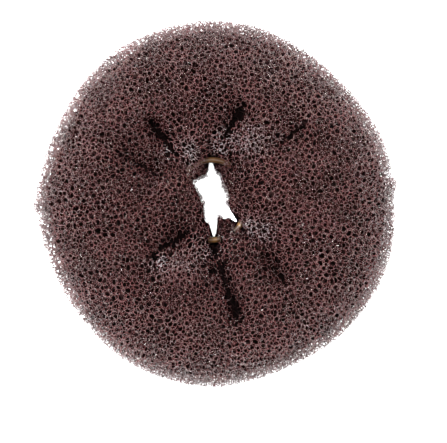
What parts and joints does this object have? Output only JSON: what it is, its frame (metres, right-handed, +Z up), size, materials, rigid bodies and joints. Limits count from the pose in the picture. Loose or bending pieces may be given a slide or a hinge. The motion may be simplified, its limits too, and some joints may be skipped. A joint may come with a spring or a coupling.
{
  "type": "hair donut",
  "caption": "Soft ring of open-cell foam mesh, hollow inside and gathered round a narrow hole by a buried elastic band, for shaping a hair bun.",
  "frame": {"origin": "middle of the ring's bounding box, on the surface it rests on", "axes": "+Z up through the hole; +X and +Y are right and up in the picture, and the two seams lie close to the X axis"},
  "size_m": [0.095, 0.0962, 0.034],
  "materials": {
    "foam_mesh": "maroon brown open-cell mesh with slightly glossy strands",
    "elastic": "amber, satin"
  },
  "bodies": {
    "root": {"foam_sleeve": "foam_mesh", "elastic_band": "elastic"}
  },
  "joints": []
}
